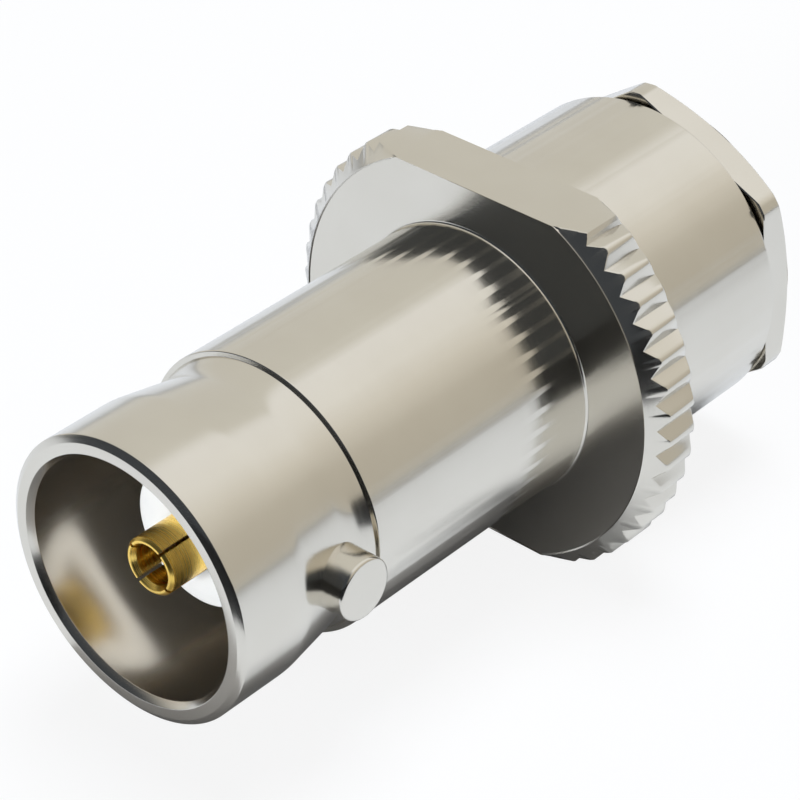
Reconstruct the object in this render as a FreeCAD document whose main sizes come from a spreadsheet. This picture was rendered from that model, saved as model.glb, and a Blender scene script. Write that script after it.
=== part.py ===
import FreeCAD, Part
import Sketcher
import os

# Coaxial cable jack with bayonet coupling and a clamped cable.
# The axis is Y. The mouth is at the low end of Y and the cable leaves at the high end.
# Every length along the axis is a station counted from the mouth. All sizes are in mm.

doc = FreeCAD.newDocument("CableJack")
sheet = doc.addObject("Spreadsheet::Sheet", "Sizes")

# Sleeve that a plug slides over
sizes = {
    "sleeve_radius": 4.80,
    "sleeve_wall": 0.75,
    "lip_bevel_radial": 0.17,
    "lip_bevel_depth": 0.22,
    "lip_round": 0.13,
    "ring_length": 2.75,
    "waist_length": 2.40,
    "waist_drop": 0.40,
    "neck_length": 0.72,
    "neck_rise": 0.22,
    "ring_blend": 2.50,
    "waist_blend": 1.50,
    "step_bevel": 0.06,
}

# Two bayonet studs
sizes.update({
    "stud_station": 4.42,
    "stud_radius": 1.04,
    "stud_reach": 0.71,
    "stud_bevel": 0.12,
})

# Knurled flange with two wrench flats, and the barrel behind it
sizes.update({
    "flange_station": 15.66,
    "flange_thickness": 2.20,
    "flange_rim": 2.13,
    "flange_bevel_radial": 0.65,
    "flange_bevel_axial": 0.50,
    "root_cove": 0.10,
    "tooth_count": 50,
    "tooth_depth": 0.33,
    "tooth_half_width": 0.42,
    "flat_depth": 1.42,
    "cutter_margin": 1.00,
    "barrel_wall": 0.95,
    "barrel_length": 6.75,
    "barrel_bevel": 0.10,
})

# Bores inside the body
sizes.update({
    "mouth_depth": 5.45,
    "web_thickness": 1.75,
    "web_hole_radius": 2.40,
    "clamp_shoulder": 0.95,
    "flange_lead": 0.34,
    "thread_lead": 0.25,
})

# Gaps between neighbours
sizes.update({
    "seat_gap": 0.05,
    "insulator_play": 0.03,
    "clamp_play": 0.12,
    "washer_play": 0.08,
    "thread_play": 0.05,
})

# Insulators and centre contact
sizes.update({
    "boss_station": 2.93,
    "boss_bevel": 0.08,
    "front_insulator_length": 3.35,
    "tip_station": 1.00,
    "pin_bore_radius": 0.69,
    "pin_bore_depth": 4.60,
    "pin_lead": 0.12,
    "contact_wall": 0.29,
    "contact_bevel": 0.10,
    "drill_point": 0.20,
    "slot_half_width": 0.06,
    "slot_depth": 3.40,
    "slot_turn": 35.0,
    "collar_height": 0.52,
    "collar_length": 0.80,
    "tail_step": 0.07,
    "tail_length": 4.00,
    "cup_wall": 0.55,
    "cup_depth": 3.00,
    "cup_window_radius": 0.30,
    "cup_window_setback": 1.40,
})

# Cable clamp set, made for a cable of one radius
sizes.update({
    "cable_radius": 2.50,
    "nose_gap": 0.55,
    "nose_length": 0.90,
    "nose_clearance": 0.45,
    "nose_flare": 1.00,
    "nose_wall": 0.35,
    "clamp_thickness": 0.95,
    "gasket_slack": 0.10,
    "gasket_wall": 2.10,
    "gasket_length": 2.85,
    "wedge_land": 0.15,
    "wedge_run": 0.85,
    "wedge_height": 0.70,
    "washer_slack": 0.60,
    "washer_thickness": 0.55,
})

# Clamp nut
sizes.update({
    "nut_slack": 0.35,
    "hole_lead": 0.25,
    "shank_lead": 0.30,
    "relief_depth": 0.35,
    "relief_length": 0.50,
    "head_gap": 0.10,
    "head_length": 1.29,
    "head_overhang": 0.57,
    "corner_reach": 0.68,
    "head_bevel_radial": 0.70,
    "head_bevel_axial": 0.42,
    "hex_side_count": 6,
    "hex_turn": 54.2,
})

for row, (label, number) in enumerate(sizes.items(), start=1):
    cell = "B%d" % row
    sheet.set("A%d" % row, label)
    sheet.set(cell, str(number))
    sheet.setAlias(cell, label)
doc.recompute()


def total(terms):
    """Sum of named sizes, where a leading minus subtracts one."""
    result = 0.0
    for term in terms:
        result += -sizes[term[1:]] if term.startswith("-") else sizes[term]
    return result


def formula(terms):
    """The same sum written as a sheet expression."""
    text = ""
    for term in terms:
        sign = " - " if term.startswith("-") else " + "
        text += sign + "Sizes." + term.lstrip("-")
    return text[3:] if text.startswith(" + ") else text


# Radii that several pieces share
sleeve_bore = ("sleeve_radius", "-sleeve_wall")
gasket_hole = ("cable_radius", "gasket_slack")
nut_hole = ("cable_radius", "nut_slack")
thread_bore = gasket_hole + ("gasket_wall",)
insulator_bore = thread_bore + ("-clamp_shoulder",)
barrel_radius = thread_bore + ("barrel_wall",)
flange_radius = barrel_radius + ("flange_rim",)
flat_height = flange_radius + ("-flat_depth",)
insulator_radius = insulator_bore + ("-insulator_play",)
contact_radius = ("pin_bore_radius", "contact_wall")
contact_hole = contact_radius + ("insulator_play",)
collar_radius = contact_radius + ("collar_height",)
tail_radius = contact_radius + ("tail_step",)
clamp_radius = thread_bore + ("-clamp_play",)

# Stations that several pieces share
web_back = ("mouth_depth", "web_thickness")
front_insulator_front = web_back + ("seat_gap",)
front_insulator_back = front_insulator_front + ("front_insulator_length",)
collar_front = front_insulator_back + ("seat_gap",)
collar_back = collar_front + ("collar_length",)
contact_end = collar_back + ("tail_length",)
thread_bore_front = ("flange_station", "flange_lead")
rear_insulator_back = thread_bore_front + ("-nose_length", "-nose_gap")
clamp_seat = thread_bore_front + ("seat_gap",)
clamp_back = clamp_seat + ("clamp_thickness",)
gasket_front = clamp_back + ("seat_gap",)
gasket_back = gasket_front + ("gasket_length",)
washer_front = gasket_back + ("seat_gap",)
washer_back = washer_front + ("washer_thickness",)
nut_front = washer_back + ("seat_gap",)
flange_back = ("flange_station", "flange_thickness")
barrel_end = flange_back + ("barrel_length",)
head_front = barrel_end + ("head_gap",)
nut_end = head_front + ("head_length",)


def negated(terms):
    """The same sum on the other side of the axis."""
    return tuple(term[1:] if term.startswith("-") else "-" + term for term in terms)


def new_piece(name, turn=None):
    """A named piece with its mouth-to-cable middle at Y zero and its flats' foot at Z zero."""
    body = doc.addObject("PartDesign::Body", name)
    body.Label = name
    angle = 0.0 if turn is None else sizes[turn]
    rotation = FreeCAD.Rotation(FreeCAD.Vector(0, 1, 0), -angle)
    middle = FreeCAD.Vector(0, -total(nut_end) / 2.0, total(flat_height))
    body.Placement = FreeCAD.Placement(middle, rotation)
    body.setExpression("Placement.Base.y", "-(" + formula(nut_end) + ") / 2")
    body.setExpression("Placement.Base.z", formula(flat_height))
    if turn is not None:
        body.setExpression("Placement.Rotation.Angle", "Sizes." + turn)
    return body


def origin_part(body, role):
    for feature in body.Origin.OriginFeatures:
        if feature.Role == role:
            return feature
    raise ValueError("no origin feature " + role)


def new_sketch(body, name, plane):
    sketch = body.newObject("Sketcher::SketchObject", name)
    sketch.AttachmentSupport = [(origin_part(body, plane), "")]
    sketch.MapMode = "FlatFace"
    return sketch


def fix_coordinate(sketch, kind, line, terms):
    """Hold the start of a line at a named distance from the origin, or on the axis itself."""
    if not terms:
        axis = -2 if kind == "DistanceX" else -1
        sketch.addConstraint(Sketcher.Constraint("PointOnObject", line, 1, axis))
        return
    held = Sketcher.Constraint(kind, -1, 1, line, 1, total(terms))
    index = sketch.addConstraint(held)
    sketch.setExpression("Constraints[%d]" % index, formula(terms))


def add_outline(sketch, corners):
    """Closed polygon whose corners are pairs of named sums."""
    first = sketch.GeometryCount
    count = len(corners)
    points = [FreeCAD.Vector(total(across), total(along), 0) for across, along in corners]
    for index in range(count):
        sketch.addGeometry(Part.LineSegment(points[index], points[(index + 1) % count]), False)
    for index in range(count):
        following = first + (index + 1) % count
        joined = Sketcher.Constraint("Coincident", first + index, 2, following, 1)
        sketch.addConstraint(joined)
    for index, (across, along) in enumerate(corners):
        fix_coordinate(sketch, "DistanceX", first + index, across)
        fix_coordinate(sketch, "DistanceY", first + index, along)


def turned(body, name, corners, kind="PartDesign::Revolution"):
    """Revolve a profile of (radius, station) corners about the axis, as material or as a cut."""
    sketch = new_sketch(body, name + "_profile", "XY_Plane")
    add_outline(sketch, corners)
    doc.recompute()
    feature = body.newObject(kind, name)
    feature.Profile = sketch
    feature.ReferenceAxis = (sketch, ["V_Axis"])
    feature.Angle = 360.0
    doc.recompute()
    return feature


def milled(body, name, sketch):
    """Cut a sketch right through, both ways from its plane."""
    doc.recompute()
    pocket = body.newObject("PartDesign::Pocket", name)
    pocket.Profile = sketch
    pocket.SideType = "Symmetric"
    pocket.Type = "ThroughAll"
    doc.recompute()
    return pocket


def ringed(body, name, originals, count_name):
    """Repeat a feature round the axis."""
    pattern = body.newObject("PartDesign::PolarPattern", name)
    pattern.Originals = originals
    pattern.Axis = (origin_part(body, "Y_Axis"), [""])
    pattern.Angle = 360.0
    pattern.Occurrences = int(sizes[count_name])
    pattern.setExpression("Occurrences", "Sizes." + count_name)
    body.Tip = pattern
    doc.recompute()
    return pattern


def rims(shape, radius, centre):
    """Names of the circular edges of one radius about one centre."""
    names = []
    for index, edge in enumerate(shape.Edges, start=1):
        curve = edge.Curve
        if not isinstance(curve, Part.Circle):
            continue
        if abs(curve.Radius - radius) > 0.001:
            continue
        if (curve.Center - centre).Length < 0.001:
            names.append("Edge%d" % index)
    return names


def dressed(body, name, kind, radius_terms, station_terms, size_name):
    """Fillet or chamfer the turned edge at one radius and station."""
    base = body.Tip
    centre = FreeCAD.Vector(0, total(station_terms), 0)
    names = rims(base.Shape, total(radius_terms), centre)
    feature = body.newObject(kind, name)
    feature.Base = (base, names)
    size = "Radius" if kind == "PartDesign::Fillet" else "Size"
    setattr(feature, size, sizes[size_name])
    feature.setExpression(size, "Sizes." + size_name)
    doc.recompute()
    return feature


# Jack body: sleeve, neck, flange and barrel turned from one bar
jack = new_piece("jack_body")
ring_end = ("ring_length",)
waist = ("ring_length", "waist_length")
neck_end = waist + ("neck_length",)
sleeve = ("sleeve_radius",)
waist_radius = ("sleeve_radius", "-waist_drop")
neck_radius = waist_radius + ("neck_rise",)
flange_front = ("flange_station",)
flange_face = flange_radius + ("-flange_bevel_radial",)
turned(jack, "body_bar", [
    ((), ()),
    (sleeve, ()),
    (sleeve, ring_end),
    (waist_radius, waist),
    (neck_radius, neck_end),
    (sleeve, neck_end),
    (sleeve, flange_front),
    (flange_face, flange_front),
    (flange_radius, flange_front + ("flange_bevel_axial",)),
    (flange_radius, flange_back + ("-flange_bevel_axial",)),
    (flange_face, flange_back),
    (barrel_radius, flange_back),
    (barrel_radius, barrel_end),
    ((), barrel_end),
])
fillet = "PartDesign::Fillet"
chamfer = "PartDesign::Chamfer"
dressed(jack, "lip_rounding", fillet, sleeve, (), "lip_round")
dressed(jack, "ring_blending", fillet, sleeve, ring_end, "ring_blend")
dressed(jack, "waist_blending", fillet, waist_radius, waist, "waist_blend")
dressed(jack, "step_beveling", chamfer, sleeve, neck_end, "step_bevel")
dressed(jack, "root_coving", chamfer, sleeve, flange_front, "root_cove")
dressed(jack, "barrel_edge", chamfer, barrel_radius, barrel_end, "barrel_bevel")

# Knurl teeth, cut before the wrench flats remove some of them
groove = new_sketch(jack, "tooth_groove", "XZ_Plane")
base = flange_radius + ("tooth_depth",)
add_outline(groove, [
    ((), flange_radius + ("-tooth_depth",)),
    (("tooth_half_width", "tooth_half_width"), base),
    (("-tooth_half_width", "-tooth_half_width"), base),
])
tooth_cut = milled(jack, "tooth_cut", groove)
ringed(jack, "knurl", [tooth_cut], "tooth_count")

# Wrench flats on the top and bottom of the flange
flats = new_sketch(jack, "flat_outline", "XZ_Plane")
reach = flange_radius + ("cutter_margin",)
for turn_over in (False, True):
    near = negated(flat_height) if turn_over else flat_height
    far = negated(reach) if turn_over else reach
    add_outline(flats, [
        (negated(reach), near),
        (reach, near),
        (reach, far),
        (negated(reach), far),
    ])
milled(jack, "wrench_flats", flats)

# Bayonet studs: one rod across the neck, cleared from the bore by the cuts below
rod = new_sketch(jack, "stud_circle", "YZ_Plane")
centre = FreeCAD.Vector(sizes["stud_station"], 0, 0)
rod.addGeometry(Part.Circle(centre, FreeCAD.Vector(0, 0, 1), sizes["stud_radius"]), False)
rod.addConstraint(Sketcher.Constraint("PointOnObject", 0, 3, -1))
held = rod.addConstraint(Sketcher.Constraint("DistanceX", -1, 1, 0, 3, sizes["stud_station"]))
rod.setExpression("Constraints[%d]" % held, "Sizes.stud_station")
held = rod.addConstraint(Sketcher.Constraint("Radius", 0, sizes["stud_radius"]))
rod.setExpression("Constraints[%d]" % held, "Sizes.stud_radius")
doc.recompute()
stud_tip = ("sleeve_radius", "stud_reach")
studs = jack.newObject("PartDesign::Pad", "studs")
studs.Profile = rod
studs.SideType = "Symmetric"
studs.Length = 2 * total(stud_tip)
studs.setExpression("Length", "2 * (" + formula(stud_tip) + ")")
doc.recompute()

stud_rims = []
for side in (-1, 1):
    tip = FreeCAD.Vector(side * total(stud_tip), sizes["stud_station"], 0)
    stud_rims += rims(studs.Shape, sizes["stud_radius"], tip)
stud_bevels = jack.newObject(chamfer, "stud_bevels")
stud_bevels.Base = (studs, stud_rims)
stud_bevels.Size = sizes["stud_bevel"]
stud_bevels.setExpression("Size", "Sizes.stud_bevel")
doc.recompute()

# Mouth bore, web, insulator bore and thread bore
turned(jack, "bores", [
    ((), ()),
    (sleeve_bore + ("lip_bevel_radial",), ()),
    (sleeve_bore, ("lip_bevel_depth",)),
    (sleeve_bore, ("mouth_depth",)),
    (("web_hole_radius",), ("mouth_depth",)),
    (("web_hole_radius",), web_back),
    (insulator_bore, web_back),
    (insulator_bore, thread_bore_front),
    (thread_bore, thread_bore_front),
    (thread_bore, barrel_end + ("-thread_lead",)),
    (thread_bore + ("thread_lead",), barrel_end),
    ((), barrel_end),
], "PartDesign::Groove")

# Front insulator: a boss through the web and a shoulder behind it
front_insulator = new_piece("front_insulator")
boss_radius = ("web_hole_radius", "-insulator_play")
turned(front_insulator, "front_insulator_rod", [
    (contact_hole, ("boss_station",)),
    (boss_radius, ("boss_station",)),
    (boss_radius, front_insulator_front),
    (insulator_radius, front_insulator_front),
    (insulator_radius, front_insulator_back),
    (contact_hole, front_insulator_back),
])
dressed(front_insulator, "boss_edge", chamfer, boss_radius, ("boss_station",), "boss_bevel")

# Centre contact: slotted socket, retaining collar and solder cup
contact = new_piece("socket_contact", "slot_turn")
bore_end = ("tip_station", "pin_bore_depth")
cup_floor = contact_end + ("-cup_depth",)
cup_radius = tail_radius + ("-cup_wall",)
turned(contact, "contact_pin", [
    (("pin_bore_radius", "pin_lead"), ("tip_station",)),
    (contact_radius + ("-contact_bevel",), ("tip_station",)),
    (contact_radius, ("tip_station", "contact_bevel")),
    (contact_radius, collar_front),
    (collar_radius, collar_front),
    (collar_radius, collar_back),
    (tail_radius, collar_back),
    (tail_radius, contact_end),
    (cup_radius, contact_end),
    (cup_radius, cup_floor),
    ((), cup_floor + ("-drill_point",)),
    ((), bore_end + ("drill_point",)),
    (("pin_bore_radius",), bore_end),
    (("pin_bore_radius",), ("tip_station", "pin_lead")),
])
slot = new_sketch(contact, "slot_outline", "XY_Plane")
slot_end = ("tip_station", "slot_depth")
add_outline(slot, [
    (negated(collar_radius), ()),
    (collar_radius, ()),
    (collar_radius, slot_end),
    (negated(collar_radius), slot_end),
])
doc.recompute()
slot_cut = contact.newObject("PartDesign::Pocket", "slot_cut")
slot_cut.Profile = slot
slot_cut.SideType = "Symmetric"
slot_cut.Length = 2 * sizes["slot_half_width"]
slot_cut.setExpression("Length", "2 * Sizes.slot_half_width")
doc.recompute()
cross_slots = contact.newObject("PartDesign::PolarPattern", "cross_slots")
cross_slots.Originals = [slot_cut]
cross_slots.Axis = (origin_part(contact, "Y_Axis"), [""])
cross_slots.Angle = 90.0
cross_slots.Occurrences = 2
contact.Tip = cross_slots
doc.recompute()

# Window in the wall of the solder cup
window = new_sketch(contact, "cup_window_circle", "XY_Plane")
window_station = contact_end + ("-cup_window_setback",)
centre = FreeCAD.Vector(0, total(window_station), 0)
ring = Part.Circle(centre, FreeCAD.Vector(0, 0, 1), sizes["cup_window_radius"])
window.addGeometry(ring, False)
window.addConstraint(Sketcher.Constraint("PointOnObject", 0, 3, -2))
held = window.addConstraint(Sketcher.Constraint("DistanceY", -1, 1, 0, 3, total(window_station)))
window.setExpression("Constraints[%d]" % held, formula(window_station))
held = window.addConstraint(Sketcher.Constraint("Radius", 0, sizes["cup_window_radius"]))
window.setExpression("Constraints[%d]" % held, "Sizes.cup_window_radius")
doc.recompute()
before = contact.Shape.Volume
cup_window = contact.newObject("PartDesign::Pocket", "cup_window")
cup_window.Profile = window
cup_window.Type = "ThroughAll"
doc.recompute()
if contact.Shape.Volume >= before:
    raise ValueError("the solder cup window removes nothing")

# Rear insulator, recessed for the contact's collar
rear_insulator = new_piece("rear_insulator")
collar_recess = collar_radius + ("insulator_play",)
tail_hole = tail_radius + ("insulator_play",)
recess_floor = collar_back + ("seat_gap",)
turned(rear_insulator, "rear_insulator_rod", [
    (collar_recess, collar_front),
    (insulator_radius, collar_front),
    (insulator_radius, rear_insulator_back),
    (tail_hole, rear_insulator_back),
    (tail_hole, recess_floor),
    (collar_recess, recess_floor),
])

# Braid clamp: tapered nose, shoulder on the body's step, and a wedge ring behind
nose_base = insulator_bore + ("-nose_clearance",)
nose_tip = nose_base + ("-nose_flare",)
clamp_hole = nose_tip + ("-nose_wall",)
nose_front = clamp_seat + ("-nose_length",)
wedge_inside = gasket_hole + ("wedge_land",)
wedge_peak = wedge_inside + ("wedge_run",)
wedge_outside = clamp_radius + ("-wedge_land",)
braid_clamp = new_piece("braid_clamp")
turned(braid_clamp, "braid_clamp_ring", [
    (clamp_hole, nose_front),
    (nose_tip, nose_front),
    (nose_base, clamp_seat),
    (clamp_radius, clamp_seat),
    (clamp_radius, clamp_back),
    (wedge_outside, clamp_back),
    (wedge_peak, clamp_back + ("wedge_height",)),
    (wedge_inside, clamp_back),
    (clamp_hole, clamp_back),
])

# Gasket, grooved for the clamp's wedge
gasket = new_piece("gasket")
turned(gasket, "gasket_ring", [
    (gasket_hole, gasket_front),
    (wedge_inside, gasket_front),
    (wedge_peak, gasket_front + ("wedge_height",)),
    (wedge_outside, gasket_front),
    (clamp_radius, gasket_front),
    (clamp_radius, gasket_back),
    (gasket_hole, gasket_back),
])

# Slip washer between the gasket and the nut
slip_washer = new_piece("slip_washer")
washer_hole = ("cable_radius", "washer_slack")
washer_radius = thread_bore + ("-washer_play",)
turned(slip_washer, "washer_ring", [
    (washer_hole, washer_front),
    (washer_radius, washer_front),
    (washer_radius, washer_back),
    (washer_hole, washer_back),
])

# Clamp nut: threaded shank and a hexagon head milled from a round blank
clamp_nut = new_piece("clamp_nut", "hex_turn")
thread_radius = thread_bore + ("-thread_play",)
relief_radius = thread_radius + ("-relief_depth",)
relief_front = head_front + ("-relief_length",)
hex_distance = thread_radius + ("head_overhang",)
blank_radius = hex_distance + ("corner_reach",)
turned(clamp_nut, "nut_blank", [
    (nut_hole, nut_front),
    (thread_radius + ("-shank_lead",), nut_front),
    (thread_radius, nut_front + ("shank_lead",)),
    (thread_radius, relief_front),
    (relief_radius, relief_front),
    (relief_radius, head_front),
    (blank_radius, head_front),
    (blank_radius, nut_end + ("-head_bevel_axial",)),
    (blank_radius + ("-head_bevel_radial",), nut_end),
    (nut_hole + ("hole_lead",), nut_end),
    (nut_hole, nut_end + ("-hole_lead",)),
])
side = new_sketch(clamp_nut, "hex_side_outline", "XZ_Plane")
hex_reach = blank_radius + ("cutter_margin",)
add_outline(side, [
    (hex_distance, negated(hex_reach)),
    (hex_reach, negated(hex_reach)),
    (hex_reach, hex_reach),
    (hex_distance, hex_reach),
])
side_cut = milled(clamp_nut, "hex_side", side)
ringed(clamp_nut, "hex_sides", [side_cut], "hex_side_count")

# Every feature must be sound before a file is written
doc.recompute()
for item in doc.Objects:
    if "Invalid" in item.State or "Error" in item.State:
        raise ValueError("%s has state %s" % (item.Label, item.State))

os.makedirs("parts", exist_ok=True)
pieces = [jack, front_insulator, contact, rear_insulator, braid_clamp, gasket, slip_washer, clamp_nut]
for piece in pieces:
    shape = piece.Shape
    if shape.isNull() or not shape.isValid() or len(shape.Solids) != 1:
        raise ValueError(piece.Label + " is not one valid solid")
    shape.exportStep("parts/%s.step" % piece.Label)
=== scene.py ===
import bpy
import bmesh
from math import asin, ceil, cos, pi, radians, sin, tan
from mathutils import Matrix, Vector


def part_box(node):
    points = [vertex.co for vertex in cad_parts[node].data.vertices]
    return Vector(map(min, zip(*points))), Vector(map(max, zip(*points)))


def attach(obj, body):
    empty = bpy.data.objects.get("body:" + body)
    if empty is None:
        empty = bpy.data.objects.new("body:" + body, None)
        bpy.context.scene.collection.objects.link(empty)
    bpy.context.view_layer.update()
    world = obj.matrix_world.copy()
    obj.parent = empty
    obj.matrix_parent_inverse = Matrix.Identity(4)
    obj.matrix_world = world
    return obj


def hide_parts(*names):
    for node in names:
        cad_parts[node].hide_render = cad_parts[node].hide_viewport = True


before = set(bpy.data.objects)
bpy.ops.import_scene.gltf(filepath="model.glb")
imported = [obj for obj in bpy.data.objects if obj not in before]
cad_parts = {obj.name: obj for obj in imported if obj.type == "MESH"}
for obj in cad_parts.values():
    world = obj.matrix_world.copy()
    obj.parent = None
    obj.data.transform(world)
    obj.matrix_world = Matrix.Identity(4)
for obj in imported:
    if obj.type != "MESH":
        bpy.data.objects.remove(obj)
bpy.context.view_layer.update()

# Profiles are drawn in mm as (radius, station), with the station counted from the mouth
mm = 0.001
bodyLow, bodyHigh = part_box("jack_body")
mouthY = bodyLow.y
axisZ = (bodyLow.z + bodyHigh.z) / 2
threadPitch = 0.79375    # 32 threads to the inch


def place(radius, station, angle):
    return Vector((radius * cos(angle) * mm, mouthY + station * mm, axisZ + radius * sin(angle) * mm))


def roundedLoop(corners, steps=4):
    # corners are (radius, station, rounding), and the loop closes on itself
    loop = []
    for index, (radius, station, rounding) in enumerate(corners):
        here = Vector((radius, station))
        if rounding <= 0:
            loop.append((radius, station))
            continue
        before = Vector(corners[index - 1][:2]) - here
        after = Vector(corners[(index + 1) % len(corners)][:2]) - here
        half = before.angle(after) / 2
        reach = min(rounding / tan(half), before.length * 0.49, after.length * 0.49)
        centre = here + (before.normalized() + after.normalized()).normalized() * (reach / cos(half))
        start = here + before.normalized() * reach - centre
        stop = here + after.normalized() * reach - centre
        sweep = start.angle(stop)
        for step in range(steps + 1):
            share = step / steps
            arm = (start * sin((1 - share) * sweep) + stop * sin(share * sweep)) / sin(sweep)
            loop.append(tuple(centre + arm))
    return loop


def evenAngles(count):
    return [2 * pi * index / count for index in range(count)]


def spin(mesh, loopAt, angles):
    # loopAt(angle) gives as many points at every angle
    columns = []
    for angle in angles:
        columns.append([mesh.verts.new(place(r, s, angle)) for r, s in loopAt(angle)])
    for index, column in enumerate(columns):
        following = columns[(index + 1) % len(columns)]
        for j in range(len(column)):
            k = (j + 1) % len(column)
            mesh.faces.new((column[j], column[k], following[k], following[j]))


def meshObject(mesh, name):
    data = bpy.data.meshes.new(name)
    mesh.to_mesh(data)
    mesh.free()
    made = bpy.data.objects.new(name, data)
    bpy.context.scene.collection.objects.link(made)
    return made


def finishPiece(mesh, name, body, nodes, material, sharpAngle=32):
    bmesh.ops.remove_doubles(mesh, verts=mesh.verts, dist=0.001 * mm)
    bmesh.ops.recalc_face_normals(mesh, faces=mesh.faces)
    for face in mesh.faces:
        face.smooth = True
    for edge in mesh.edges:
        if len(edge.link_faces) == 2:
            edge.smooth = edge.calc_face_angle(0) < radians(sharpAngle)
    piece = meshObject(mesh, name)
    weighted = piece.modifiers.new("faceWeights", "WEIGHTED_NORMAL")    # keeps flats flat beside their rounded edges
    weighted.keep_sharp = True
    piece.data.materials.append(material)
    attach(piece, body)
    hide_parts(*nodes)


def threadHeight(station, angle):
    # 0 at the root and 1 at the crest of a right-hand thread
    turn = (station / threadPitch - angle / (2 * pi)) % 1.0
    return min(1.0, max(0.0, (abs(2 * turn - 1) - 0.18) / 0.66))


def linearColour(hexText):
    channels = [int(hexText[i:i + 2], 16) / 255 for i in (1, 3, 5)]
    straight = [c / 12.92 if c <= 0.04045 else ((c + 0.055) / 1.055) ** 2.4 for c in channels]
    return (*straight, 1.0)


def addNode(tree, kind, inputs=None, **settings):
    node = tree.nodes.new(kind)
    for name, value in settings.items():
        setattr(node, name, value)
    for socket, value in (inputs or {}).items():
        if isinstance(value, bpy.types.NodeSocket):
            tree.links.new(value, node.inputs[socket])
        else:
            node.inputs[socket].default_value = value
    return node


def newMaterial(name):
    material = bpy.data.materials.new(name)
    material.use_nodes = True
    tree = material.node_tree
    shader = tree.nodes["Principled BSDF"]
    return material, tree, shader


def turnedCoordinates(tree):
    # distance from the axis and along it, so that marks run round the piece as a lathe leaves them
    coordinates = addNode(tree, "ShaderNodeTexCoord")
    centred = addNode(tree, "ShaderNodeVectorMath", {0: coordinates.outputs["Object"], 1: (0, 0, axisZ)},
                      operation="SUBTRACT")
    across = addNode(tree, "ShaderNodeVectorMath", {0: centred.outputs[0], 1: (1, 0, 1)}, operation="MULTIPLY")
    radius = addNode(tree, "ShaderNodeVectorMath", {0: across.outputs[0]}, operation="LENGTH")
    split = addNode(tree, "ShaderNodeSeparateXYZ", {0: centred.outputs[0]})
    turned = addNode(tree, "ShaderNodeCombineXYZ", {0: radius.outputs["Value"], 1: split.outputs["Y"]})
    return centred.outputs[0], turned.outputs[0]


def driftingTone(tree, vector, finish, detail=2.0):
    # wanders between the finish's two tones over its cloud size
    cloud = addNode(tree, "ShaderNodeTexNoise", {"Vector": vector, "Scale": 1 / (finish["cloud"] * mm),
                                                 "Detail": detail})
    colour = addNode(tree, "ShaderNodeMix", {"Factor": cloud.outputs["Fac"], "A": linearColour(finish["shade"]),
                                             "B": linearColour(finish["light"])}, data_type="RGBA")
    return colour.outputs["Result"], cloud.outputs["Fac"]


# Sizes in the finishes are mm. A lathe's real feed is nearer 0.03, too fine for a picture of the
# whole jack, so the rings are drawn coarser.
# Bright nickel over turned brass: a warm grey, nearly a mirror, softened by fine rings from the lathe
nickelFinish = {"light": "#DFDBD1", "shade": "#D6D1C6", "cloud": 2.5, "roughness": 0.18, "ringSpacing": 0.07,
                "ringHeight": 0.00022, "waveLength": 1.6, "waveHeight": 0.0012}
# Inside the jack the same plating is thinner and duller, so some brass warms it
jackFinish = dict(nickelFinish, boreTone="#DAD2C5", boreRoughness=0.2, boreMetal=0.97, boreRadius=4.15, boreFade=0.08)
# Gold flashed over turned brass: deep yellow, orange where it reflects itself
goldFinish = {"light": "#FFE084", "shade": "#FFD25E", "cloud": 2.5, "roughness": 0.27, "ringSpacing": 0.06,
              "ringHeight": 0.00005, "waveLength": 0.6, "waveHeight": 0.001}
# Brass left bare off the lathe: duller and greener than the gold, with rings that show
brassFinish = {"light": "#C7AC6B", "shade": "#A98B4B", "cloud": 2.5, "roughness": 0.3, "ringSpacing": 0.1,
               "ringHeight": 0.001, "waveLength": 1.5, "waveHeight": 0.001}


def turnedMetal(name, finish):
    material, tree, shader = newMaterial(name)
    plain, turned = turnedCoordinates(tree)
    tone, cloud = driftingTone(tree, plain, finish, 3.0)
    rings = addNode(tree, "ShaderNodeTexNoise", {"Vector": turned, "Scale": 1 / (finish["ringSpacing"] * mm),
                                                 "Detail": 2.0}, noise_dimensions="2D")
    gloss = addNode(tree, "ShaderNodeMapRange", {"Value": rings.outputs["Fac"], "From Min": 0.3, "From Max": 0.7,
                                                 "To Min": finish["roughness"] * 0.93,
                                                 "To Max": finish["roughness"] * 1.1})
    ripple = addNode(tree, "ShaderNodeTexNoise", {"Vector": plain, "Scale": 1 / (finish["waveLength"] * mm),
                                                  "Detail": 1.0})
    wave = addNode(tree, "ShaderNodeBump", {"Height": ripple.outputs["Fac"], "Strength": 1.0,
                                            "Distance": finish["waveHeight"] * mm})
    bump = addNode(tree, "ShaderNodeBump", {"Height": rings.outputs["Fac"], "Strength": 1.0,
                                            "Distance": finish["ringHeight"] * mm, "Normal": wave.outputs[0]})
    rough = gloss.outputs["Result"]
    shader.inputs["Metallic"].default_value = 1.0
    if "boreTone" in finish:
        distance = addNode(tree, "ShaderNodeSeparateXYZ", {0: turned})
        bore = addNode(tree, "ShaderNodeMapRange", {
            "Value": distance.outputs["X"], "From Min": finish["boreRadius"] * mm,
            "From Max": (finish["boreRadius"] - finish["boreFade"]) * mm}).outputs["Result"]
        tone = addNode(tree, "ShaderNodeMix", {"Factor": bore, "A": tone, "B": linearColour(finish["boreTone"])},
                       data_type="RGBA").outputs["Result"]
        rough = addNode(tree, "ShaderNodeMix", {"Factor": bore, "A": rough,
                                                "B": finish["boreRoughness"]}).outputs["Result"]
        metal = addNode(tree, "ShaderNodeMix", {"Factor": bore, "A": 1.0, "B": finish["boreMetal"]})
        tree.links.new(metal.outputs["Result"], shader.inputs["Metallic"])
    tree.links.new(tone, shader.inputs["Base Color"])
    tree.links.new(rough, shader.inputs["Roughness"])
    tree.links.new(bump.outputs[0], shader.inputs["Normal"])
    return material


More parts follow.
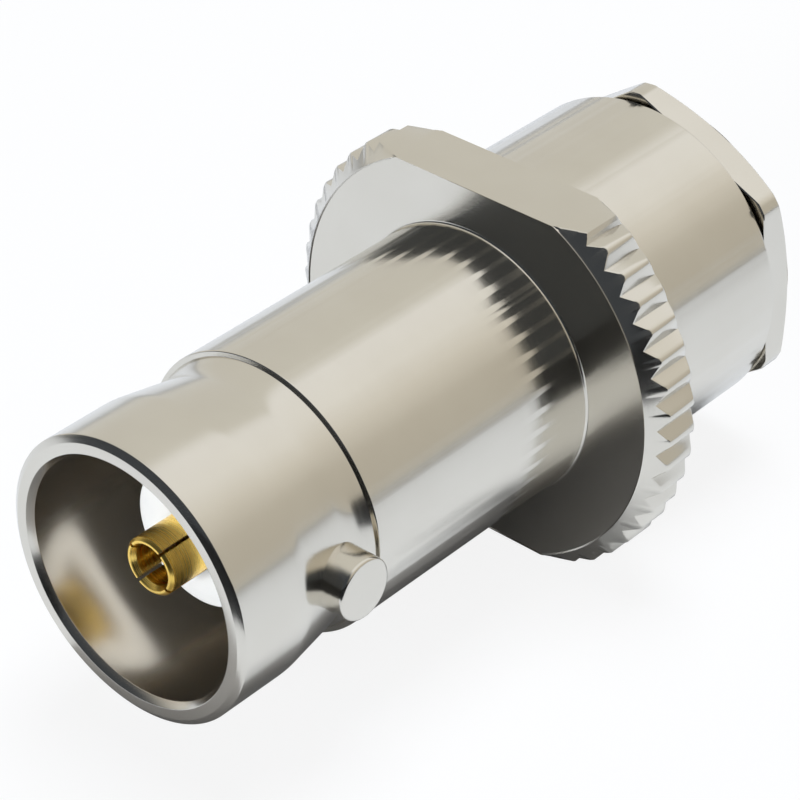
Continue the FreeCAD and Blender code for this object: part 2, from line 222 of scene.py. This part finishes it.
# Fluoropolymer turned from rod: waxy white, light comes a little way through it
insulatorFinish = {"light": "#F1F2F1", "shade": "#E2E5E6", "cloud": 1.2, "roughness": 0.42, "ringSpacing": 0.12,
                   "ringHeight": 0.002, "lightDepth": 0.3, "lightShare": 0.2}


def turnedFluoropolymer():
    finish = insulatorFinish
    material, tree, shader = newMaterial("turnedWhiteFluoropolymer")
    plain, turned = turnedCoordinates(tree)
    tone, cloud = driftingTone(tree, plain, finish)
    rings = addNode(tree, "ShaderNodeTexNoise", {"Vector": turned, "Scale": 1 / (finish["ringSpacing"] * mm),
                                                 "Detail": 2.0}, noise_dimensions="2D")
    bump = addNode(tree, "ShaderNodeBump", {"Height": rings.outputs["Fac"], "Strength": 1.0,
                                            "Distance": finish["ringHeight"] * mm})
    tree.links.new(tone, shader.inputs["Base Color"])
    tree.links.new(bump.outputs[0], shader.inputs["Normal"])
    shader.inputs["Roughness"].default_value = finish["roughness"]
    shader.inputs["IOR"].default_value = 1.36
    shader.inputs["Subsurface Weight"].default_value = finish["lightShare"]
    shader.inputs["Subsurface Radius"].default_value = (1.0, 1.0, 1.0)
    shader.inputs["Subsurface Scale"].default_value = finish["lightDepth"] * mm
    return material


# Silicone rubber from a mould: matte brick red, and its fine blasted grain kills the shine
siliconeFinish = {"light": "#9A4634", "shade": "#84382A", "cloud": 0.08, "roughness": 0.62, "grainHeight": 0.004}


def mouldedSilicone():
    finish = siliconeFinish
    material, tree, shader = newMaterial("mouldedSiliconeRubber")
    plain, turned = turnedCoordinates(tree)
    tone, grain = driftingTone(tree, plain, finish)
    bump = addNode(tree, "ShaderNodeBump", {"Height": grain, "Strength": 1.0,
                                            "Distance": finish["grainHeight"] * mm})
    tree.links.new(tone, shader.inputs["Base Color"])
    tree.links.new(bump.outputs[0], shader.inputs["Normal"])
    shader.inputs["Roughness"].default_value = finish["roughness"]
    return material


nickel = turnedMetal("nickelPlatedTurnedBrass", nickelFinish)
jackNickel = turnedMetal("nickelPlatedTurnedJack", jackFinish)
gold = turnedMetal("goldPlatedTurnedBrass", goldFinish)
brass = turnedMetal("bareTurnedBrass", brassFinish)
insulator = turnedFluoropolymer()
silicone = mouldedSilicone()
print("materials ready")

# Jack body: sleeve, neck, knurled flange with two wrench flats, barrel with its inside thread
jackBody = {
    "mouthBore": 4.05, "lipInner": 4.22, "lipDepth": 0.22, "lipFace": 4.57, "sleeveRadius": 4.80,
    "waistStart": 2.75, "waistRadius": 4.40, "neckStart": 5.15, "neckRadius": 4.62, "neckEnd": 5.87,
    "flangeFront": 15.66, "flangeBack": 17.86, "flangeRadius": 7.78, "faceRadius": 7.13, "bevelDepth": 0.5,
    "toothCount": 50, "toothDepth": 0.33, "toothHalfWidth": 0.42, "flatHeight": 6.36, "edge": 0.045, "burr": 0.035,
    "barrelRadius": 5.65, "barrelEnd": 24.61, "threadRadius": 4.70, "threadFrom": 16.9, "threadTo": 24.2,
    "threadDepth": 0.28, "threadSteps": 8, "chamberEnd": 16.0, "insulatorBore": 3.75,
    "webFront": 5.45, "webBack": 7.2, "webHole": 2.40}
# Two bayonet studs, rooted in the neck's wall
studs = {"radius": 1.04, "station": 4.42, "root": 4.2, "tip": 5.51, "bevel": 0.12, "bevelSteps": 5, "sides": 72}


def rimRadius(angle):
    p = jackBody
    slope = p["toothHalfWidth"] / p["toothDepth"]
    pitch = 2 * pi / p["toothCount"]
    offset = abs((angle - pi / 2 + pitch / 2) % pitch - pitch / 2)
    rootRadius = p["flangeRadius"] - p["toothDepth"]
    groove = rootRadius * slope / (slope * cos(offset) - sin(offset))
    flat = p["flatHeight"] / max(abs(sin(angle)), 1e-6)
    return min(p["flangeRadius"], groove, flat), min(p["faceRadius"], flat)


def bodyAngles():
    # columns where the grooves and the wrench flats begin and end, so that their edges come out crisp
    p = jackBody
    pitch = 2 * pi / p["toothCount"]
    edge = asin(p["toothHalfWidth"] / p["flangeRadius"])
    nick = p["edge"] / p["flangeRadius"]
    offsets = [0.0, edge * 0.35, edge * 0.7, edge - nick, edge + nick * 0.6]
    angles = set()
    for tooth in range(p["toothCount"]):
        middle = pi / 2 + tooth * pitch
        angles.add(round((middle + pitch / 2) % (2 * pi), 7))
        for offset in offsets:
            angles.add(round((middle + offset) % (2 * pi), 7))
            angles.add(round((middle - offset) % (2 * pi), 7))
    for radius in (p["flangeRadius"], p["faceRadius"]):
        corner = asin(p["flatHeight"] / radius)
        for angle in (corner, pi - corner, pi + corner, 2 * pi - corner):
            angles.add(round(angle - nick, 7))
            angles.add(round(angle + nick, 7))
    return sorted(angles)


def jackLoops():
    p = jackBody
    sleeve, barrel, thread = p["sleeveRadius"], p["barrelRadius"], p["threadRadius"]
    flangeCorner = (p["faceRadius"], p["flangeFront"])
    threadCorner = (thread, p["barrelEnd"] - 0.25)
    outer = roundedLoop([
        (p["lipInner"], 0.0, 0.04), (p["lipFace"], 0.0, 0.03), (sleeve - 0.10, 0.08, 0.03), (sleeve, 0.15, 0.06),
        (sleeve, p["waistStart"], 2.5), (p["waistRadius"], p["neckStart"], 1.5),
        (p["neckRadius"], p["neckEnd"], 0.03), (sleeve, p["neckEnd"], 0.06), (sleeve, p["flangeFront"], 0.11),
        (*flangeCorner, 0), (p["faceRadius"], p["flangeBack"], 0), (barrel, p["flangeBack"], 0.06),
        (barrel, p["barrelEnd"], 0.10), (thread + 0.25, p["barrelEnd"], 0.03), (*threadCorner, 0),
        (thread, p["chamberEnd"], 0), (p["insulatorBore"], p["chamberEnd"], 0.04),
        (p["insulatorBore"], p["webBack"], 0), (p["webHole"], p["webBack"], 0), (p["webHole"], p["webFront"], 0.05),
        (p["mouthBore"], p["webFront"], 0.12), (p["mouthBore"], p["lipDepth"], 0.05)], 6)
    front = outer.index(flangeCorner)
    bore = outer.index(threadCorner)
    return outer[:front], outer[front + 2:bore + 1], outer[bore + 1:]


def addStud(mesh, side):
    p = studs
    profile = [(p["root"], 0.0), (p["root"], p["radius"])]
    for step in range(p["bevelSteps"] + 1):
        turn = pi / 2 * step / p["bevelSteps"]
        profile.append((p["tip"] - p["bevel"] * (1 - sin(turn)), p["radius"] - p["bevel"] * (1 - cos(turn))))
    profile += [(p["tip"], p["radius"] * 0.6), (p["tip"], 0.0)]
    rows = []
    for height, radius in profile:
        row = []
        for turn in evenAngles(p["sides"]):
            row.append(mesh.verts.new(Vector((side * height * mm, mouthY + (p["station"] + radius * cos(turn)) * mm,
                                              axisZ + radius * sin(turn) * mm))))
        rows.append(row)
    for low, high in zip(rows, rows[1:]):
        for step in range(p["sides"]):
            following = (step + 1) % p["sides"]
            mesh.faces.new((low[step], low[following], high[following], high[step]))


def buildJackBody():
    p = jackBody
    ahead, behind, inside = jackLoops()
    turns = ceil((p["threadTo"] - p["threadFrom"]) / threadPitch * p["threadSteps"])
    stations = [p["threadTo"] - (p["threadTo"] - p["threadFrom"]) * i / turns for i in range(turns + 1)]
    edge = p["edge"]
    slant = p["bevelDepth"] / (p["flangeRadius"] - p["faceRadius"])

    def loopAt(angle):
        rim, face = rimRadius(angle)
        drop = max(0.0, rim - p["faceRadius"]) * slant
        lean = edge * 0.8 if rim > face + 2 * edge else 0.0    # no bevel is left where a wrench flat cuts deep
        flange = []
        for faceStation, way in ((p["flangeFront"], 1), (p["flangeBack"], -1)):
            # the cutter leaves a fine burr round the face, which shows as a thin bright line
            half = [(face - edge, faceStation), (face, faceStation - way * p["burr"]),
                    (face + lean, faceStation + way * lean * slant),
                    (max(rim - lean, face), faceStation + way * max(0.0, drop - lean * slant)),
                    (rim, faceStation + way * (drop + edge))]
            flange += half if way == 1 else half[::-1]
        thread = []
        for index, station in enumerate(stations):
            fade = min(1.0, index / 6, (turns - index) / 6)
            radius = p["threadRadius"] + p["threadDepth"] * fade * threadHeight(station, angle)
            thread.append((radius, station))
        return ahead + flange + behind + thread + inside

    mesh = bmesh.new()
    spin(mesh, loopAt, bodyAngles())
    for side in (1, -1):
        addStud(mesh, side)
    finishPiece(mesh, "platedJackBody", "jack", ["jack_body"], jackNickel)


buildJackBody()
print("jack body turned, knurled and milled")

# Insulators, clamp, gasket and washer are plain turned or moulded rings: body, node, material, profile
rings = {
    "frontInsulatorRod": ("jack", "front_insulator", insulator, [
        (1.01, 2.93, 0.03), (2.37, 2.93, 0.08), (2.37, 7.25, 0), (3.72, 7.25, 0.05), (3.72, 10.6, 0.08),
        (1.01, 10.6, 0)]),
    "rearInsulatorRod": ("jack", "rear_insulator", insulator, [
        (1.53, 10.65, 0), (3.72, 10.65, 0.08), (3.72, 14.55, 0.08), (1.08, 14.55, 0.03), (1.08, 11.5, 0),
        (1.53, 11.5, 0)]),
    "braidClampRing": ("jack", "braid_clamp", brass, [
        (1.95, 15.15, 0.05), (2.30, 15.15, 0.05), (3.30, 16.05, 0.03), (4.58, 16.05, 0.05), (4.58, 17.0, 0.05),
        (4.43, 17.0, 0), (3.60, 17.7, 0.08), (2.75, 17.0, 0), (1.95, 17.0, 0.05)]),
    "siliconeGasket": ("jack", "gasket", silicone, [
        (2.60, 17.05, 0.05), (2.75, 17.05, 0), (3.60, 17.75, 0.1), (4.43, 17.05, 0), (4.58, 17.05, 0.05),
        (4.58, 19.9, 0.12), (2.60, 19.9, 0.12)]),
    "slipWasherRing": ("washer", "slip_washer", brass, [
        (3.10, 19.95, 0.04), (4.62, 19.95, 0.06), (4.62, 20.5, 0.06), (3.10, 20.5, 0.04)])}
for name, (body, node, material, corners) in rings.items():
    mesh = bmesh.new()
    loop = roundedLoop(corners)
    spin(mesh, lambda angle: loop, evenAngles(160))
    finishPiece(mesh, name, body, [node], material)
print("insulators, clamp set and washer made")

# Centre contact: four sprung petals, then the solid pin, its collar and the solder cup
contact = {"boreRadius": 0.69, "radius": 0.98, "tip": 1.0, "slotHalfWidth": 0.06, "slotEnd": 4.40, "slotTurn": 55.0,
           "petals": 4, "petalSteps": 14, "boreEnd": 5.6, "collarRadius": 1.50, "collarFront": 10.65,
           "collarBack": 11.45, "tailRadius": 1.05, "tailEnd": 15.45, "cupRadius": 0.50, "cupDepth": 3.0}


def buildContact():
    p = contact
    bore, outer, slotEnd = p["boreRadius"], p["radius"], p["slotEnd"]
    quarter = 2 * pi / p["petals"]
    mesh = bmesh.new()
    petal = roundedLoop([(bore, p["tip"] + 0.18, 0.04), (bore + 0.11, p["tip"], 0.03), (outer - 0.09, p["tip"], 0.04),
                         (outer, p["tip"] + 0.10, 0.06), (outer, slotEnd, 0), (bore, slotEnd, 0)])
    for index in range(p["petals"]):
        middle = radians(p["slotTurn"]) + quarter * (index + 0.5)
        columns = []
        for step in range(p["petalSteps"] + 1):
            share = 2 * step / p["petalSteps"] - 1
            column = []
            for radius, station in petal:
                reach = quarter / 2 - asin(p["slotHalfWidth"] / radius)
                column.append(mesh.verts.new(place(radius, station, middle + share * reach)))
            columns.append(column)
        for left, right in zip(columns, columns[1:]):
            for j in range(len(petal)):
                k = (j + 1) % len(petal)
                mesh.faces.new((left[j], left[k], right[k], right[j]))
        mesh.faces.new(columns[0])
        mesh.faces.new(columns[-1][::-1])
    cupEnd = p["tailEnd"] - p["cupDepth"]
    pin = roundedLoop([(0.0, p["boreEnd"] + 0.2, 0), (bore, p["boreEnd"], 0), (bore, slotEnd, 0), (outer, slotEnd, 0),
                       (outer, p["collarFront"], 0), (p["collarRadius"], p["collarFront"], 0.05),
                       (p["collarRadius"], p["collarBack"], 0.05), (p["tailRadius"], p["collarBack"], 0),
                       (p["tailRadius"], p["tailEnd"], 0.06), (p["cupRadius"], p["tailEnd"], 0.05),
                       (p["cupRadius"], cupEnd, 0), (0.0, cupEnd - 0.2, 0)])
    spin(mesh, lambda angle: pin, evenAngles(96))
    finishPiece(mesh, "goldSocketContact", "jack", ["socket_contact"], gold)


buildContact()
print("centre contact slotted")

# Clamp nut: hexagon head with its corners turned off at the back, undercut, and the thread
clampNut = {"flatDistance": 5.22, "blankRadius": 5.90, "headFront": 24.71, "nutEnd": 26.0, "coneRadius": 5.20,
            "coneDepth": 0.42, "hexTurn": 5.8, "edge": 0.035, "hole": 2.85, "holeBevel": 0.25,
            "shankRadius": 4.64, "shankStart": 20.55, "leadRadius": 4.33, "leadLength": 0.3,
            "reliefRadius": 4.30, "reliefStart": 24.21, "threadDepth": 0.32, "threadFrom": 20.9,
            "threadTo": 24.17, "threadSteps": 16, "cornerNick": 0.35}


def buildClampNut():
    p = clampNut
    edge, hole, end = p["edge"], p["hole"], p["nutEnd"]
    slant = p["coneDepth"] / (p["blankRadius"] - p["coneRadius"])
    turns = ceil((p["threadTo"] - p["threadFrom"]) / threadPitch * p["threadSteps"])
    stations = [p["threadFrom"] + (p["threadTo"] - p["threadFrom"]) * i / turns for i in range(turns + 1)]

    def loopAt(angle):
        sector = (angle - radians(p["hexTurn"]) + pi / 6) % (pi / 3) - pi / 6
        rim = min(p["blankRadius"], p["flatDistance"] / cos(sector))
        back = end - (rim - p["coneRadius"]) * slant
        thread = []
        for index, station in enumerate(stations):
            fade = min(1.0, index / 10, (turns - index) / 10)
            depth = p["threadDepth"] * (1 - threadHeight(station, angle)) * fade
            thread.append((p["shankRadius"] - depth, station))
        return [(hole, p["shankStart"]), (p["leadRadius"], p["shankStart"]),
                (p["leadRadius"] + 0.04, p["shankStart"] + 0.02),
                (p["shankRadius"], p["shankStart"] + p["leadLength"]), *thread,
                (p["shankRadius"], p["reliefStart"]), (p["reliefRadius"], p["reliefStart"]),
                (p["reliefRadius"], p["headFront"] - 0.08), (p["reliefRadius"] + 0.08, p["headFront"]),
                (rim - edge, p["headFront"]), (rim, p["headFront"] + edge), (rim, back - edge * 0.7),
                (rim - edge * 0.8, back + edge * 0.8 * slant),
                (p["coneRadius"] + edge * 0.5, end - edge * 0.5 * slant), (p["coneRadius"] - edge * 0.6, end),
                (hole + p["holeBevel"] + 0.02, end), (hole + p["holeBevel"] - 0.02, end - 0.02),
                (hole, end - p["holeBevel"])]

    angles = set()
    for side in range(6):
        corner = p["hexTurn"] - 30 + 60 * side
        for degrees in [*range(0, 60, 2), -p["cornerNick"], p["cornerNick"]]:
            angles.add(round(radians(corner + degrees) % (2 * pi), 7))
    mesh = bmesh.new()
    spin(mesh, loopAt, sorted(angles))
    finishPiece(mesh, "platedClampNut", "nut", ["clamp_nut"], nickel)


buildClampNut()
print("clamp nut milled and threaded")

# Camera: the photograph's angle, from a longer lens so that the sleeve keeps its true taper
shot = {"azimuth": 41.37, "elevation": 34.69, "lens": 135.0, "position": (51.73, -59.54, 60.73)}
camera = bpy.data.objects.new("photoCamera", bpy.data.cameras.new("photoCamera"))
bpy.context.scene.collection.objects.link(camera)
camera.data.sensor_width = 36.0
camera.data.lens = shot["lens"]
camera.data.clip_start = 0.001
camera.data.clip_end = 20.0
azimuth = radians(shot["azimuth"])
elevation = radians(shot["elevation"])
towards = Vector((sin(azimuth) * cos(elevation), -cos(azimuth) * cos(elevation), sin(elevation)))
camera.location = Vector(shot["position"]) * mm
camera.rotation_mode = "QUATERNION"
camera.rotation_quaternion = (-towards).to_track_quat("-Z", "Y")
bpy.context.scene.camera = camera
print("camera placed")

# Studio: pale floor under a soft overhead panel, a dark room before the object and pale walls behind it
studio = {"floor": "#DDE2EA", "floorRadius": 0.9, "floorWhite": 0.88, "fill": 0.1, "room": "#45494F",
          "roomFrom": -0.5, "roomTo": -0.15}
# what the metal sees behind it, from the right horizon over the top to the left horizon, in degrees
wallTones = {-10: "#D4D3CF", 12: "#CBC6BB", 33: "#D0CBC0", 54: "#ECE8E0", 74: "#FCFBF8", 102: "#FFFFFF",
             109: "#E2E0D9", 160: "#DEDCD6", 179: "#E3E3E0"}

floorMesh = bmesh.new()
bmesh.ops.create_circle(floorMesh, cap_ends=True, segments=96, radius=studio["floorRadius"])
floor = meshObject(floorMesh, "paleFloor")
floorMaterial, floorTree, floorShader = newMaterial("mattePaleFloor")
floorShader.inputs["Roughness"].default_value = 0.9
floorShader.inputs["Base Color"].default_value = linearColour(studio["floor"])
rays = addNode(floorTree, "ShaderNodeLightPath")
white = addNode(floorTree, "ShaderNodeEmission", {"Color": (1, 1, 1, 1), "Strength": 1.0})
share = addNode(floorTree, "ShaderNodeMath", {0: rays.outputs["Is Camera Ray"], 1: studio["floorWhite"]},
                operation="MULTIPLY")
both = addNode(floorTree, "ShaderNodeMixShader", {0: share.outputs[0], 1: floorShader.outputs[0],
                                                  2: white.outputs[0]})
floorTree.links.new(both.outputs[0], floorTree.nodes["Material Output"].inputs["Surface"])
floor.data.materials.append(floorMaterial)

world = bpy.data.worlds.new("studioRoom")
bpy.context.scene.world = world
world.use_nodes = True
room = world.node_tree
direction = addNode(room, "ShaderNodeTexCoord")
parts = addNode(room, "ShaderNodeSeparateXYZ", {0: direction.outputs["Generated"]})
around = addNode(room, "ShaderNodeMath", {0: parts.outputs["Z"], 1: parts.outputs["X"]}, operation="ARCTAN2")
along = addNode(room, "ShaderNodeMapRange", {"Value": around.outputs[0], "From Min": -pi, "From Max": pi})
walls = addNode(room, "ShaderNodeValToRGB", {"Fac": along.outputs["Result"]})
stops = walls.color_ramp.elements
while len(stops) > 1:
    stops.remove(stops[-1])
for index, (degrees, tone) in enumerate(wallTones.items()):
    stop = stops[0] if index == 0 else stops.new((degrees + 180) / 360)
    stop.position = (degrees + 180) / 360
    stop.color = linearColour(tone)
behind = addNode(room, "ShaderNodeMapRange", {"Value": parts.outputs["Y"], "From Min": studio["roomFrom"],
                                              "From Max": studio["roomTo"]}, interpolation_type="SMOOTHSTEP")
seenByMetal = addNode(room, "ShaderNodeMix", {"Factor": behind.outputs["Result"], "A": linearColour(studio["room"]),
                                              "B": walls.outputs["Color"]}, data_type="RGBA")
roomRays = addNode(room, "ShaderNodeLightPath")
fill = studio["fill"]
notGlossy = addNode(room, "ShaderNodeMix", {"Factor": roomRays.outputs["Is Camera Ray"], "A": (fill, fill, fill, 1),
                                            "B": (1, 1, 1, 1)}, data_type="RGBA")
light = addNode(room, "ShaderNodeMix", {"Factor": roomRays.outputs["Is Glossy Ray"], "A": notGlossy.outputs["Result"],
                                        "B": seenByMetal.outputs["Result"]}, data_type="RGBA")
room.links.new(light.outputs["Result"], room.nodes["Background"].inputs["Color"])
room.nodes["Background"].inputs["Strength"].default_value = 1.0

# A soft panel hangs overhead, and a weaker one looks into the mouth and lifts the white insulator
lamps = {"overheadPanel": {"size": 0.16, "power": 1.0, "place": (-0.02, 0.06, 0.3)},
         "mouthPanel": {"size": 0.05, "power": 0.34, "place": (0.02, -0.2, 0.05)}}
for name, lamp in lamps.items():
    lampData = bpy.data.lights.new(name, "AREA")
    lampData.shape = "SQUARE"
    lampData.size = lamp["size"]
    lampData.energy = lamp["power"]
    panel = bpy.data.objects.new(name, lampData)
    bpy.context.scene.collection.objects.link(panel)
    panel.location = lamp["place"]
    panel.rotation_mode = "QUATERNION"
    panel.rotation_quaternion = panel.location.to_track_quat("Z", "Y")
    panel.visible_glossy = False    # the walls already carry the panels' reflections

# Two dark cards that only reflections see: one stands before the camera and ends the bright floor,
# one lies under the object as a painted shadow, a darker patch of floor that paints shade into the reflections on its
# lower sides
cards = {"standingCard": {"size": (0.06, 0.012), "place": (sin(azimuth) * 0.026, -cos(azimuth) * 0.026, 0.0062),
                          "turn": (pi / 2, 0, azimuth), "tone": "#1B1C1F"},
         # painted shadow: a grey sheet lying on the floor where the object's contact shadow falls, seen only in
         # reflections
         "paintedShadowCard": {"size": (0.0105, 0.029), "place": (0.00025, -0.0045, 0.00001), "turn": (0, 0, 0),
                       "tone": "#9C9DA0"}}
for name, card in cards.items():
    cardMesh = bmesh.new()
    bmesh.ops.create_grid(cardMesh, x_segments=1, y_segments=1, size=0.5)
    cardObject = meshObject(cardMesh, name)
    cardObject.scale = (*card["size"], 1.0)
    cardObject.location = card["place"]
    cardObject.rotation_euler = card["turn"]
    cardObject.visible_camera = False
    cardObject.visible_diffuse = False
    cardObject.visible_shadow = False
    cardMaterial, cardTree, cardShader = newMaterial(name + "MattePaper")
    cardShader.inputs["Base Color"].default_value = linearColour(card["tone"])
    cardShader.inputs["Roughness"].default_value = 0.95
    cardObject.data.materials.append(cardMaterial)
bpy.context.scene.view_settings.view_transform = "Standard"
print("studio lit")
